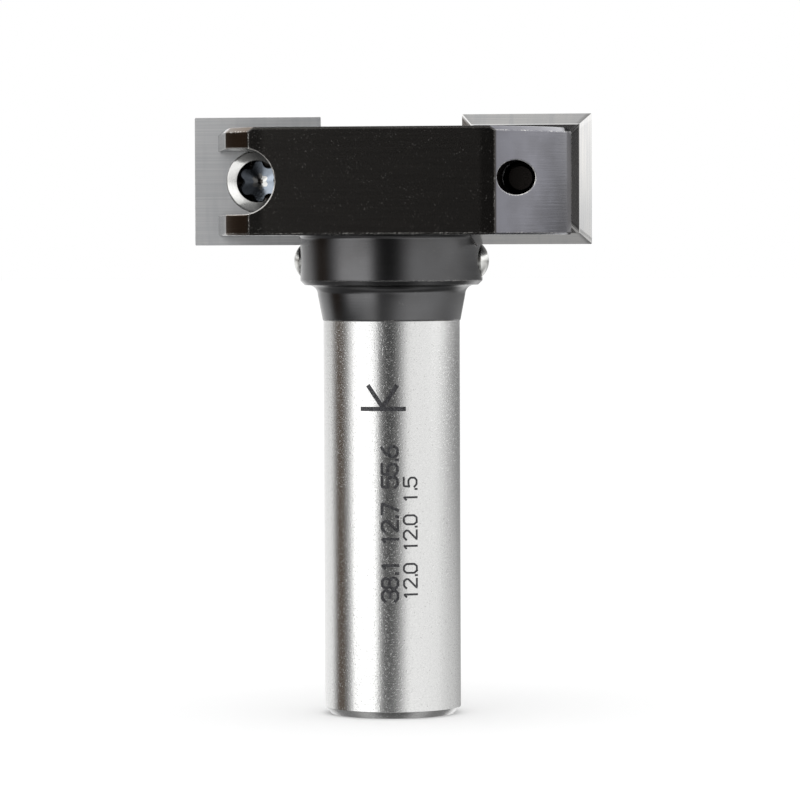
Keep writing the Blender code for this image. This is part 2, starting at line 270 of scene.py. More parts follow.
def headOutline(shape):
    # half the outline counter-clockwise from the front flat's right end, then its half turn
    radius, rake = shape["headRadius"], shape["rakeY"]
    flatAngle = math.asin(shape["flatY"] / radius)
    jogY = rake + shape["insertThick"] / 2
    slope = math.tan(math.radians(shape["gulletAngle"]))
    openX = shape["tipX"] - shape["reveal"]
    land = arcPoints((0, 0), radius, -flatAngle, -math.asin(jogY / radius), shape["landSteps"])
    # the gullet facet x = offset - slope * y meets the turned wall x^2 + y^2 = radius^2 at endY
    offset = openX - rake * slope
    a, b, c = 1 + slope ** 2, -2 * offset * slope, offset ** 2 - radius ** 2
    endY = (-b + math.sqrt(b * b - 4 * a * c)) / (2 * a)
    nose = arcPoints((0, 0), radius, math.asin(endY / radius), flatAngle, shape["noseSteps"])
    half = np.concatenate([land, [(openX + (jogY - rake) * slope, -jogY)], nose])
    return np.concatenate([half, -half])


def insetOutline(outline, amounts):
    # each side moves in by its own amount; a corner goes where its two moved sides meet
    side = np.roll(outline, -1, axis=0) - outline
    inward = np.stack([-side[:, 1], side[:, 0]], axis=-1)
    inward = inward / np.linalg.norm(side, axis=1, keepdims=True)
    pair = np.stack([np.roll(inward, 1, axis=0), inward], axis=1)
    shift = np.stack([np.roll(amounts, 1), amounts], axis=1)
    return outline + np.linalg.solve(pair, shift[..., None])[..., 0]


def headSurface(shape):
    # the outline carried up a profile: broad chamfer on the turned wall, fine one on the flats
    outline = headOutline(shape)
    ends = np.abs(outline[:, 1])
    onFlat = np.minimum(ends, np.roll(ends, -1)) > shape["flatY"] * 0.9999     # both ends on it
    broad, fine = shape["topChamfer"], shape["edgeBreak"]
    bottom, top = shape["headBottom"], shape["headTop"]
    # height, then how far in the turned wall and the flats stand there
    levels = ((bottom, fine, fine), (bottom + fine, 0, 0), (top - broad, 0, 0),
              (top - fine, broad - fine, 0), (top, broad, fine))
    loops = []
    for height, onTurned, onFlats in levels:
        loop = insetOutline(outline, np.where(onFlat, onFlats, onTurned))
        loops.append(np.column_stack([loop, np.full(len(loop), height)]))
    head = ringSurface("head", np.array(loops) * mm, capEnds=True)
    head.modifiers.new("triangles", "TRIANGULATE")     # else the union fails on its end faces
    applyModifiers(head)
    return head


def insertSlotTool(shape):
    # pocket of one insert carried along X: its floor runs level under the rake face,
    # then up with the relief bevel
    rake, gap, over = shape["rakeY"], shape["seatGap"], shape["overrun"]
    front, back = rake - shape["slotRoom"], rake + shape["insertThick"] + gap
    bottom = shape["headTop"] + shape["projection"] - shape["insertSize"] - gap
    rise = shape["insertBevel"] * (back - rake) / shape["insertThick"]
    top = shape["headTop"] + over
    outline = [(front, bottom), (rake, bottom), (back, bottom + rise), (back, top), (front, top)]
    inner = shape["insertSize"] - shape["tipX"] + gap
    rings = np.array([[(x, y, z) for y, z in outline] for x in (-shape["tipX"] - over, inner)])
    return ringSurface("insertSlot", rings * mm, capEnds=True)


def keySlotTool(shape):
    # stadium-ended slot, carried along -Y from just in front of the insert
    radius = shape["keyWidth"] / 2
    centreX = shape["keyShift"] - (shape["tipX"] - shape["insertSize"] / 2)
    centreZ = headMiddle(shape)
    outside = -(shape["headRadius"] + shape["overrun"])
    roundEnd = arcPoints((centreX, centreZ), radius, -math.pi / 2, math.pi / 2, shape["keySteps"])
    outline = np.concatenate([roundEnd, [(outside, centreZ + radius), (outside, centreZ - radius)]])
    back = shape["rakeY"] - shape["slotRoom"] / 2
    rings = np.array([[(x, y, z) for x, z in outline] for y in (back, outside)])
    return ringSurface("keySlot", rings * mm, capEnds=True)


def threadRings(minor, major, pitch, start, end, columns, plainBelow=-99.0, perTurn=12):
    # helical thread: radius is a trapezoid wave of (height / pitch - angle / turn),
    # and it runs out over half a pitch above plainBelow
    heights = np.arange(start, end, pitch / perTurn)
    angles = np.arange(columns) * fullTurn / columns
    phase = (heights[:, None] / pitch - angles[None, :] / fullTurn) % 1
    wave = np.clip(1.6 - 4 * np.abs(phase - 0.5), 0, 1)
    depth = np.clip((heights[:, None] - plainBelow) / (pitch / 2), 0, 1)
    radius = (minor + (major - minor) * wave * depth) * mm
    return np.stack([radius * np.cos(angles), radius * np.sin(angles),
                     np.repeat(heights[:, None], columns, axis=1) * mm], axis=-1)


def tapTool(shape, thread):
    # a solid tap: a real thread from the seat to where the plain mouth begins
    depthEnd = -(shape["headRadius"] + shape["rakeY"] + shape["overrun"])
    rings = threadRings(thread["minor"], thread["major"], thread["pitch"], depthEnd,
                        -shape["insertThick"] / 2, thread["columns"], -thread["mouth"])
    return placed(ringSurface("tap", rings, capEnds=True), insertPlace())


def makeBody(shape, thread):
    body = stemSurface(shape)
    body.name = "bodySteel"
    combine(body, headSurface(shape), "UNION")
    hole, depth = shape["centreHole"], shape["centreDepth"]
    top, over = shape["headTop"], shape["overrun"]
    centreTool = ringSurface("centre", turnProfile(
        [(0, top - depth), (hole + over * hole / depth, top + over), (0, top + over)],
        shape["centreColumns"]))
    combine(body, centreTool, "DIFFERENCE")
    for tool in (insertSlotTool(shape), keySlotTool(shape), tapTool(shape, thread)):
        combine(body, halfTurn(tool), "DIFFERENCE")
        combine(body, tool, "DIFFERENCE")
    radius, reach = shape["pinRadius"], shape["pinReach"]
    pinTool = ringSurface("pinHole", turnProfile(
        [(0, -reach), (radius, -reach), (radius, reach), (0, reach)], shape["pinColumns"]))
    combine(body, placed(pinTool, pinPlace(shape)), "DIFFERENCE")
    body.data.shade_smooth()
    body.data.set_sharp_from_angle(angle=math.radians(shape["sharpAngle"]))
    return body


body = makeBody(bodyShape, threadShape)
print("body cut:", len(body.data.polygons), "faces")


# Inserts: reversible square knives with four relief bevels run in to the back

insertShape = {
    "half": 6.0, "thick": 1.5, "bevel": 1.0, "corner": 0.1, "edgeLand": 0.04,
    "holeRadius": 2.1, "mouthRadius": 2.97, "sinkDepth": 1.1,
    "mouthEdge": 0.03, "backEdge": 0.04, "bevelIn": 0.02, "bevelUp": 0.03,
    "perSide": 24, "perCorner": 4, "sharpAngle": 24,
}


def squareLoop(half, corner, perSide, perCorner):
    # rounded square counter-clockwise: an arc at each corner, then even points along the side
    loops = []
    for k in range(4):
        turn = k * math.pi / 2
        spin = np.array([[math.cos(turn), math.sin(turn)], [-math.sin(turn), math.cos(turn)]])
        bend = arcPoints((half - corner, half - corner), corner, 0, math.pi / 2, perCorner)
        run = np.linspace(half - corner, -(half - corner), perSide + 1)[1:-1]
        side = np.column_stack([run, np.full(len(run), half)])
        loops.append(np.concatenate([bend, side]) @ spin)
    return np.concatenate(loops)


def insertSurface(name, shape):
    # rings that close on themselves: down the countersink and the hole, out along the back,
    # up the bevels to the edge, and in over the cutting face
    corner, perSide, perCorner = shape["corner"], shape["perSide"], shape["perCorner"]
    reference = squareLoop(shape["half"], corner, perSide, perCorner)
    angle = np.arctan2(reference[:, 1], reference[:, 0])

    def circle(radius, depth):
        return np.column_stack([radius * np.cos(angle), radius * np.sin(angle),
                                np.full(len(angle), -depth)])

    def square(half, depth):
        loop = squareLoop(half, corner, perSide, perCorner)
        return np.column_stack([loop, np.full(len(loop), -depth)])

    half, thick, land = shape["half"], shape["thick"], shape["edgeLand"]
    mouth, mouthEdge = shape["mouthRadius"], shape["mouthEdge"]
    hole, backEdge, bevel = shape["holeRadius"], shape["backEdge"], shape["bevel"]
    loops = [circle(mouth, 0), circle(mouth - mouthEdge, mouthEdge),
             circle(hole, shape["sinkDepth"]), circle(hole, thick - backEdge),
             circle(hole + backEdge, thick), square(half - bevel - backEdge, thick),
             square(half - bevel + shape["bevelIn"], thick - shape["bevelUp"]),
             square(half, land), square(half - land / 2, 0)]
    rings = np.array(loops) * mm
    rows, columns = rings.shape[:2]
    index = np.arange(rows * columns).reshape(rows, columns)
    down = np.roll(index, -1, axis=0)
    after = np.roll(index, -1, axis=1)
    diagonal = np.roll(down, -1, axis=1)
    quads = np.stack([index, after, diagonal, down], axis=-1).reshape(-1, 4)
    return makePiece(name, rings.reshape(-1, 3), quads.tolist(), shape["sharpAngle"])


# Insert screws: raised countersunk head, six-lobed recess, real thread

screwShape = {
    "headRadius": 2.93, "rise": 0.3, "rimTop": 0.13, "rimBottom": -0.02, "edge": 0.03,
    "crownPower": 1.3, "crownSteps": 7, "neckRadius": 2.04, "neckTop": -1.1, "neckCone": 0.2,
    "length": 5.6, "tipInset": 0.1, "tipChamfer": 0.35, "tipRun": 0.5,
    "threadTop": -1.95, "threadOut": (-1.85, -1.6),
    "recessOuter": 1.95, "recessInner": 1.4, "recessDepth": 1.3, "recessTurn": 32,
    "lobes": 6, "lobeGain": 1.2, "lobeBias": 0.25, "leadIn": 0.32, "leadStep": 0.06,
    "wallShare": 0.98, "wallFoot": 0.25, "coneDepth": 0.42, "coneSlope": 0.3,
    "coneShares": (0.96, 0.7, 0.4, 0.15, 0.04, 0.0), "columns": 144, "sharpAngle": 35,
    "darkAbove": -1.2, "darkBelow": -1.35,     # heights in mm between which the steel stays bright, without the painted shade of the recess and the thread
}


def screwSurface(name, shape, thread):
    # rows run from the tip up the thread, over the head and down into the recess, whose wall is
    # r = mean + swing * tanh(gain * (cos(lobes * t) + bias)) / tanh(gain * (1 + bias))
    columns, length, edge = shape["columns"], shape["length"], shape["edge"]
    angles = np.arange(columns) * fullTurn / columns
    mean = (shape["recessOuter"] + shape["recessInner"]) / 2
    swing = (shape["recessOuter"] - shape["recessInner"]) / 2
    gain, bias = shape["lobeGain"], shape["lobeBias"]
    lobe = np.cos(shape["lobes"] * (angles - math.radians(shape["recessTurn"])))
    lobed = mean + swing * np.tanh(gain * (lobe + bias)) / math.tanh(gain * (1 + bias))

    def ring(radius, height):
        return np.stack([radius * np.cos(angles), radius * np.sin(angles),
                         height + 0 * angles], axis=-1) * mm

    minor, major = thread["minor"] - thread["gap"], thread["major"] - thread["gap"]
    tipRadius, chamfer = minor - shape["tipInset"], shape["tipChamfer"]
    tip = [ring(0, -length), ring(tipRadius - chamfer, -length),
           ring(tipRadius, -length + chamfer)]
    turns = threadRings(minor, major, thread["pitch"], -length + shape["tipRun"],
                        shape["threadTop"], columns)
    neckRadius, neckTop = shape["neckRadius"], shape["neckTop"]
    neck = [ring(minor, height) for height in shape["threadOut"]]
    neck += [ring(neckRadius, neckTop - shape["neckCone"]), ring(neckRadius, neckTop)]
    wide, rim, rise = shape["headRadius"], shape["headRadius"] - edge, shape["rise"]
    rimBottom, rimTop = shape["rimBottom"], shape["rimTop"]
    head = [ring(rim, rimBottom - edge), ring(wide, rimBottom + 0.02),
            ring(wide, rimTop - edge), ring(rim, rimTop)]
    entry, power = shape["recessOuter"] + edge, shape["crownPower"]
    crown = [ring(rim - (rim - entry) * s, rimTop + (rise - rimTop) * (1 - (1 - s) ** power))
             for s in np.linspace(0, 1, shape["crownSteps"] + 1)[1:]]
    # round mouth, lead-in that sinks to the lobed wall, the wall, then a drill-point floor whose
    # depth grows inwards; the hundredths of a millimetre round the edges between them
    floor, lead = rise - shape["recessDepth"], rise - shape["leadIn"]
    recess = [ring(entry - edge, rise - 0.02), ring(lobed + 0.02, lead),
              ring(lobed - 0.01, lead - shape["leadStep"]),
              ring(lobed * shape["wallShare"], floor + shape["wallFoot"])]
    recess += [ring(lobed * k, floor - shape["coneDepth"] + shape["coneSlope"] * lobed * k)
               for k in shape["coneShares"]]
    rows = np.array(tip + list(turns) + neck + head + crown + recess)
    return ringSurface(name, rows, sharpAngle=shape["sharpAngle"])


# Cross pin: polished, domed at both ends

pinShape = {"radius": 1.45, "half": 9.125, "dome": 0.6, "domePoints": 14, "columns": 96}


def pinSurface(name, shape):
    # a domed end is an arc of the radius that gives the dome its height over the pin's width
    curve = (shape["radius"] ** 2 + shape["dome"] ** 2) / (2 * shape["dome"])
    spread = math.asin(shape["radius"] / curve)
    t = np.linspace(0, spread, shape["domePoints"])
    dome = np.column_stack([curve * np.sin(t), shape["half"] - curve * (1 - np.cos(t))])
    profile = np.concatenate([dome * (1, -1), dome[::-1]])
    return ringSurface(name, turnProfile(profile, shape["columns"]))


# Shank marks: an insertion sign and two lines of plain sizes in mm, in single strokes wrapped
# on the shank

markShape = {
    "radius": 6.36, "front": 7.6, "step": 0.1, "signStroke": 0.4,
    # degrees round the shank from the front, and heights in mm
    "signBar": (-25.0, 9.9, 28.58), "signArms": ((-19.3, 30.6), (-7.7, 28.75), (3.5, 30.6)),
    # words, baseline angle, foot height, capital height, stroke width
    "lines": (("38.1  12.7  55.6", 4.5, 10.9, 1.44, 0.26),
              ("12.0  12.0  1.5", 20.7, 11.1, 1.23, 0.19)),
}
glyphHeight = 6
glyphStrokes = {  # strokes on a grid 4 wide and 6 high
    "0": [[(1, 0), (0, 1.2), (0, 4.8), (1, 6), (3, 6), (4, 4.8), (4, 1.2), (3, 0), (1, 0)]],
    "1": [[(1, 5), (2, 6), (2, 0)]],
    "2": [[(0, 5), (1, 6), (3, 6), (4, 5), (4, 4), (0, 0), (4, 0)]],
    "3": [[(0, 5), (1, 6), (3, 6), (4, 5), (4, 4), (3, 3), (4, 2), (4, 1), (3, 0), (1, 0), (0, 1)],
          [(3, 3), (1.5, 3)]],
    "5": [[(4, 6), (0.3, 6), (0, 3.3), (1, 3.8), (3, 3.8), (4, 2.8), (4, 1), (3, 0), (1, 0),
           (0, 1)]],
    "6": [[(3.5, 6), (1.5, 4.8), (0.2, 2.8), (0, 1), (1, 0), (3, 0), (4, 1), (4, 2.4), (3, 3.4),
           (1, 3.4), (0.1, 2.4)]],
    "7": [[(0, 6), (4, 6), (1.4, 0)]],
    "8": [[(1, 3.2), (0.2, 4), (0.2, 5), (1, 6), (3, 6), (3.8, 5), (3.8, 4), (3, 3.2), (4, 2.2),
           (4, 1), (3, 0), (1, 0), (0, 1), (0, 2.2), (1, 3.2), (3, 3.2)]],
    ".": [[(0.8, 0), (0.8, 0.5)]],
}
glyphAdvance = {"digit": 4.9, ".": 1.9, " ": 2.6}


def strokeRibbon(points, width, step):
    # a flat band along a polyline: each sample is pushed half a width to either side of the run
    points = np.array(points, float)
    along = np.concatenate([[0], np.cumsum(np.hypot(*np.diff(points, axis=0).T))])
    samples = np.linspace(0, along[-1], max(2, int(along[-1] / step) + 1))
    line = np.column_stack([np.interp(samples, along, points[:, k]) for k in (0, 1)])
    run = np.gradient(line, axis=0)
    run /= np.hypot(run[:, 0], run[:, 1])[:, None]
    line[0] -= run[0] * width / 2
    line[-1] += run[-1] * width / 2
    side = np.column_stack([-run[:, 1], run[:, 0]]) * width / 2
    return np.stack([line - side, line + side], axis=1)


def marksSurface(shape):
    # flat layout first: across is arc length round the shank in mm, up is height on the tool
    radius, step, signStroke = shape["radius"], shape["step"], shape["signStroke"]
    arc = math.radians(1) * radius
    start, end, level = shape["signBar"]
    arms = [(angle * arc, height) for angle, height in shape["signArms"]]
    signLines = ([(start * arc, level), (end * arc, level)], arms[:2], arms[1:])
    bands = [strokeRibbon(line, signStroke, step) for line in signLines]
    for words, baseline, foot, capHeight, width in shape["lines"]:
        unit, reached = capHeight / glyphHeight, foot
        for letter in words:
            for stroke in glyphStrokes.get(letter, []):
                # the text reads up the shank, so its own upward direction points to the left
                turned = [(baseline * arc - y * unit, reached + x * unit) for x, y in stroke]
                bands.append(strokeRibbon(turned, width, step))
            reached += glyphAdvance.get(letter, glyphAdvance["digit"]) * unit
    points, faces, count = [], [], 0
    for band in bands:
        # wrap: x = R sin(angle), y = -R cos(angle)
        angle = band[..., 0] / radius + math.radians(shape["front"])
        wrapped = np.stack([radius * np.sin(angle), -radius * np.cos(angle), band[..., 1]], axis=-1)
        index = np.arange(len(band) * 2).reshape(-1, 2) + count
        faces.append(np.stack([index[:-1, 0], index[:-1, 1], index[1:, 1], index[1:, 0]], axis=-1))
        points.append(wrapped.reshape(-1, 3) * mm)
        count += len(band) * 2
    return makePiece("shankMarks", np.concatenate(points), np.concatenate(faces).tolist())


knife = insertSurface("knife", insertShape)
screw = screwSurface("screw", screwShape, threadShape)
pin = placed(pinSurface("crossPin", pinShape), pinPlace(bodyShape))
shankMarks = marksSurface(markShape)
print("inserts, screws, pin and marks made")


# Finishes: every pattern reads object coordinates in millimetres

def objectMm(tree):
    place = addNode(tree, "ShaderNodeTexCoord")
    return addNode(tree, "ShaderNodeVectorMath", {"operation": "SCALE"},
                   {0: place.outputs["Object"], "Scale": 1 / mm}).outputs[0]


def maths(tree, operation, *values):
    return addNode(tree, "ShaderNodeMath", {"operation": operation},
                   dict(enumerate(values))).outputs[0]


def product(tree, *values):
    result = values[0]
    for value in values[1:]:
        result = maths(tree, "MULTIPLY", result, value)
    return result


def fade(tree, value, low, high, start=0.0, end=1.0):
    # goes smoothly from start to end while value runs from low to high
    return addNode(tree, "ShaderNodeMapRange", {"interpolation_type": "SMOOTHSTEP"},
                   {0: value, 1: low, 2: high, 3: start, 4: end}).outputs[0]


def noisyBetween(tree, noise, start, end):
    # goes straight from start to end over the values that a noise mostly has
    return addNode(tree, "ShaderNodeMapRange",
                   inputs={0: noise, 1: 0.3, 2: 0.7, 3: start, 4: end}).outputs[0]


def mixColour(tree, factor, first, second):
    return addNode(tree, "ShaderNodeMix", {"data_type": "RGBA"},
                   {0: factor, 6: first, 7: second}).outputs[2]


def grain(tree, place, sizes, detail=2.0, roughness=0.5):
    # noise whose features are sizes mm long on each axis, or one size for all
    if isinstance(sizes, (tuple, list)):
        place = addNode(tree, "ShaderNodeVectorMath", {"operation": "DIVIDE"},
                        {0: place, 1: sizes}).outputs[0]
        sizes = 1.0
    inputs = {"Vector": place, "Scale": 1 / sizes, "Detail": detail, "Roughness": roughness}
    return addNode(tree, "ShaderNodeTexNoise", inputs=inputs).outputs[0]


def bump(tree, height, depthMm, normal=None):
    inputs = {"Height": height, "Strength": 1.0, "Distance": depthMm * mm}
    if normal is not None:
        inputs["Normal"] = normal
    return addNode(tree, "ShaderNodeBump", inputs=inputs).outputs[0]


edgeShape = {"chipSize": 0.18, "chips": (0.38, 0.62), "turned": (0.008, 0.04),
             "openReach": 0.4, "open": (0.7, 0.92), "bevelSamples": 6, "openSamples": 4}


def edgeWear(tree, widthMm, raggedness, place, shape):
    # 1 on outer edges: the rounded normal leaves the true one there, and the open surroundings
    # rule out hollows
    rounded = addNode(tree, "ShaderNodeBevel", {"samples": shape["bevelSamples"]},
                      {"Radius": widthMm * mm}).outputs[0]
    surface = addNode(tree, "ShaderNodeNewGeometry").outputs["Normal"]
    along = addNode(tree, "ShaderNodeVectorMath", {"operation": "DOT_PRODUCT"},
                    {0: rounded, 1: surface}).outputs[1]
    leaving = maths(tree, "SUBTRACT", 1.0, along)
    chips = product(tree, fade(tree, grain(tree, place, shape["chipSize"], 3.0, 0.6),
                               *shape["chips"]), raggedness)
    openness = addNode(tree, "ShaderNodeAmbientOcclusion",
                       {"samples": shape["openSamples"], "only_local": True},
                       {"Distance": shape["openReach"] * mm}).outputs["AO"]
    edge = fade(tree, maths(tree, "SUBTRACT", leaving, chips), *shape["turned"])
    return product(tree, edge, fade(tree, openness, *shape["open"])), rounded


blackOxideLook = {
    "turned": "#575758", "milled": "#3c3a38", "rim": "#727278", "brownRim": "#5c5046",
    "worn": "#dbd9d5", "roughness": 0.2, "rimRoughness": 0.13, "milledRoughness": 0.24,
    "lineLength": 6.0, "lineWidth": 0.12, "lineRoughness": 0.08, "speckSize": 0.13,
    "speckCover": 0.12, "cloudSize": 3.0, "cloudCover": 0.25, "depth": 0.0025,
    "wearWidth": 0.2, "raggedness": 0.16, "slotRaggedness": 0.02, "collarShare": 0.35,
    "patchSize": 2.2, "patchShare": 0.25, "topRimShare": 0.15, "cornerLoss": 0.6,
}
groundSteelLook = {
    "colour": "#d2d2d1", "frost": "#b4b4b4", "pits": "#7f7c79", "roughness": 0.2,
    "lineWidth": 0.09, "lineLength": 5.0, "pearlSize": 0.14, "frostCover": 0.2,
    "pitSize": 0.13, "pitCover": 0.6, "glintSize": 0.16, "glintHeight": 1.8, "depth": 0.0028,
}
carbideLook = {"streak": "#a9abae", "cloudSizes": (0.7, 6.0, 6.0)}
groundLook = {"colour": "#c6c6c6", "roughness": 0.42, "lines": (14.0, 14.0, 0.1), "depth": 0.0022}
lappedLook = {"colour": "#c9c7c4", "roughness": 0.12, "lines": (14.0, 0.1, 14.0), "depth": 0.0004}
# the second and third screw colours are painted shade: dark in the recess and on the thread, a
# lighter blue-grey on the recess floor
screwLook = {"screwSteel": "#b9b9b7", "screwSteelPaintedShade": "#45413e", "recessFloorPaintedShade": "#8a929c",
             "roughness": 0.16, "swirlSize": 0.2, "depth": 0.001}
pinLook = {"colour": "#cfcfcc", "stain": "#a59a8c", "roughness": 0.24, "stainSize": 0.9,
           "grainSize": 0.12, "depth": 0.0006}
etchedLook = {"deep": "#2b2b2d", "light": "#555558", "grainSize": 0.12, "metallic": 0.6,
              "roughness": 0.5}


def makeBlackOxide(look, shape):
    # blackened alloy steel: a dark satin skin that keeps the cutter marks and wears through to
    # bare metal on edges
    finish, tree = newMaterial("blackOxide")
    place = objectMm(tree)
    x, y, z = addNode(tree, "ShaderNodeSeparateXYZ", inputs={0: place}).outputs
    radius = maths(tree, "SQRT", maths(tree, "ADD", product(tree, x, x), product(tree, y, y)))
    behind = product(tree, x, y)     # above 0 on the screws' side
    onRim = fade(tree, radius, shape["headRadius"] - 1, shape["headRadius"] - 0.5)
    milled = fade(tree, maths(tree, "ABSOLUTE", y), shape["flatY"] - 0.2, shape["flatY"] - 0.05)

    # cutter marks go by height on a wall and by radius on a level face
    facing = addNode(tree, "ShaderNodeNewGeometry").outputs["True Normal"]
    upward = addNode(tree, "ShaderNodeSeparateXYZ", inputs={0: facing}).outputs[2]
    level = fade(tree, maths(tree, "ABSOLUTE", upward), 0.8, 0.95)
    across = addNode(tree, "ShaderNodeMix", {"data_type": "FLOAT"},
                     {0: level, 2: z, 3: radius}).outputs[0]
    lined = addNode(tree, "ShaderNodeCombineXYZ", inputs={0: x, 1: y, 2: across}).outputs[0]
    lineSizes = (look["lineLength"], look["lineLength"], look["lineWidth"])
    lines = grain(tree, lined, lineSizes, 3.0)

    # the wear is crisp round the key slot and fine on the collar; it comes and goes along other
    # edges, and is faint on the top rim, which was finished after blackening
    fromSlot = maths(tree, "ABSOLUTE", maths(tree, "SUBTRACT", z, headMiddle(shape)))
    halfKey = shape["keyWidth"] / 2
    slotRim = product(tree, fade(tree, fromSlot, halfKey, halfKey + 0.1, 1, 0),
                      fade(tree, behind, 0, 10))
    ragged = product(tree, fade(tree, slotRim, 0, 1, look["raggedness"], look["slotRaggedness"]),
                     fade(tree, z, 41, 42, look["collarShare"], 1))
    worn, rounded = edgeWear(tree, look["wearWidth"], ragged, place, edgeShape)
    patches = fade(tree, grain(tree, place, look["patchSize"], 2.0), 0.38, 0.6,
                   look["patchShare"], 1.0)
    topRim = fade(tree, z, shape["headTop"] - 0.45, shape["headTop"] - 0.25,
                  1.0, look["topRimShare"])
    corner = product(tree, milled, fade(tree, z, shape["headBottom"] + 0.3,
                                        shape["headBottom"] + 0.5, 0.0, look["cornerLoss"]))
    offCorner = maths(tree, "MAXIMUM", slotRim, maths(tree, "SUBTRACT", 1.0, corner))
    worn = product(tree, worn, maths(tree, "MAXIMUM", slotRim, patches), topRim, offCorner)

    sparse = fade(tree, grain(tree, place, 1.1, 2.0), 0.4, 0.65, 0.2, 1.0)
    specks = product(tree, fade(tree, grain(tree, place, look["speckSize"], 1.0), 0.68, 0.8),
                     sparse)
    bare = maths(tree, "MAXIMUM", worn, product(tree, specks, look["speckCover"]))
    rim = mixColour(tree, fade(tree, behind, -10, 10), toLinear(look["rim"]),
                    toLinear(look["brownRim"]))
    turned = mixColour(tree, onRim, toLinear(look["turned"]), rim)
    skin = mixColour(tree, milled, turned, toLinear(look["milled"]))
    clouds = fade(tree, grain(tree, place, look["cloudSize"], 2.0), 0.3, 0.75,
                  0.0, look["cloudCover"])
    cloudy = mixColour(tree, clouds, skin, toLinear(look["milled"]))
    colour = mixColour(tree, bare, cloudy, toLinear(look["worn"]))

    smooth = maths(tree, "ADD", fade(tree, onRim, 0, 1, look["roughness"], look["rimRoughness"]),
                   product(tree, milled, look["milledRoughness"] - look["roughness"]))
    rough = maths(tree, "ADD", smooth, product(tree, maths(tree, "SUBTRACT", lines, 0.5),
                                               look["lineRoughness"]))
    grit = product(tree, specks, maths(tree, "MULTIPLY_ADD", milled, 3.0, 0.3))
    fine = maths(tree, "MULTIPLY_ADD", grain(tree, place, 0.15, 2.0), 0.5, grit)
    height = maths(tree, "MULTIPLY_ADD", lines, 0.7, fine)
    closeMetal(tree, colour, rough, bump(tree, height, look["depth"], rounded))
    return finish


def makeGroundSteel(look):
    # centreless ground steel: bright and lightly frosted, with fine rings round the shank,
    # a pearly speckle and small glints
    finish, tree = newMaterial("groundSteel")
    place = objectMm(tree)
    rings = grain(tree, place, (look["lineLength"], look["lineLength"], look["lineWidth"]),
                  3.0, 0.6)
    pearl = grain(tree, place, look["pearlSize"], 2.0, 0.6)
    glints = fade(tree, grain(tree, place, look["glintSize"], 1.0), 0.58, 0.74)
    height = maths(tree, "ADD", rings,
                   maths(tree, "MULTIPLY_ADD", glints, look["glintHeight"], pearl))
    rough = noisyBetween(tree, pearl, look["roughness"] - 0.04, look["roughness"] + 0.05)
    frosted = mixColour(tree, fade(tree, pearl, 0.4, 0.7, 0.0, look["frostCover"]),
                        toLinear(look["colour"]), toLinear(look["frost"]))
    pits = fade(tree, grain(tree, place, look["pitSize"], 1.0), 0.66, 0.8, 0.0, look["pitCover"])
    pitted = mixColour(tree, pits, frosted, toLinear(look["pits"]))
    closeMetal(tree, pitted, rough, bump(tree, height, look["depth"]))
    return finish


def makeCarbide(name, look, face):
    # sintered tungsten carbide: grey and dense; the wide faces keep long grinding lines, and the
    # bevels are lapped smooth
    finish, tree = newMaterial(name)
    place, streak = objectMm(tree), toLinear(look["streak"])
    marks = grain(tree, place, face["lines"], 3.0, 0.6)
    cloud = grain(tree, place, look["cloudSizes"], 2.0)
    brushed = mixColour(tree, fade(tree, marks, 0.3, 0.7, 0.1, 0.6), toLinear(face["colour"]),
                        streak)
    streaked = mixColour(tree, fade(tree, cloud, 0.45, 0.75, 0.0, 0.35), brushed, streak)
    closeMetal(tree, streaked, face["roughness"], bump(tree, marks, face["depth"]))
    return finish


def makeScrewSteel(name, look):
    # turned and polished screw steel; in the recess and on the thread it is darkened as painted
    # shade, lighter and bluer on the recess floor
    finish, tree = newMaterial(name)
    swirl = grain(tree, objectMm(tree), look["swirlSize"], 3.0)
    rough = noisyBetween(tree, swirl, look["roughness"] - 0.04, look["roughness"] + 0.06)
    closeMetal(tree, toLinear(look[name]), rough, bump(tree, swirl, look["depth"]))
    return finish


def makePinSteel(look):
    # hardened dowel steel, polished bright, with a few stains
    finish, tree = newMaterial("pinSteel")
    place = objectMm(tree)
    stain = fade(tree, grain(tree, place, look["stainSize"], 2.0), 0.6, 0.8)
    colour = mixColour(tree, stain, toLinear(look["colour"]), toLinear(look["stain"]))
    closeMetal(tree, colour, look["roughness"],
               bump(tree, grain(tree, place, look["grainSize"], 2.0), look["depth"]))
    return finish


def makeEtchedMark(look):
    # laser-annealed steel: a matt dark grey line with uneven depth
    finish, tree = newMaterial("etchedMark")
    uneven = fade(tree, grain(tree, objectMm(tree), look["grainSize"], 2.0), 0.35, 0.7)
    shade = mixColour(tree, uneven, toLinear(look["deep"]), toLinear(look["light"]))
    closeMetal(tree, shade, look["roughness"], metallic=look["metallic"])
    return finish


blackOxide = makeBlackOxide(blackOxideLook, bodyShape)
groundSteel = makeGroundSteel(groundSteelLook)
groundCarbide = makeCarbide("groundCarbide", carbideLook, groundLook)
lappedCarbide = makeCarbide("lappedCarbide", carbideLook, lappedLook)
# the second and third screw finishes are painted shade in the recess, on its floor and on the
# thread
screwSteel, screwSteelPaintedShade, recessFloorPaintedShade = (makeScrewSteel(name, screwLook) for name in
                                         ("screwSteel", "screwSteelPaintedShade", "recessFloorPaintedShade"))
pinSteel = makePinSteel(pinLook)
etchedMark = makeEtchedMark(etchedLook)


def faceData(piece, name):
    values = np.zeros(len(piece.data.polygons) * 3)
    piece.data.polygons.foreach_get(name, values)
    return values.reshape(-1, 3)


def dress(piece, finishes, which=None):
    # the first finish everywhere, or for each face the one whose number is given
    piece.data.materials.clear()
    for finish in finishes:
        piece.data.materials.append(finish)
    if which is not None:
        piece.data.polygons.foreach_set("material_index", np.asarray(which).astype(np.int32))


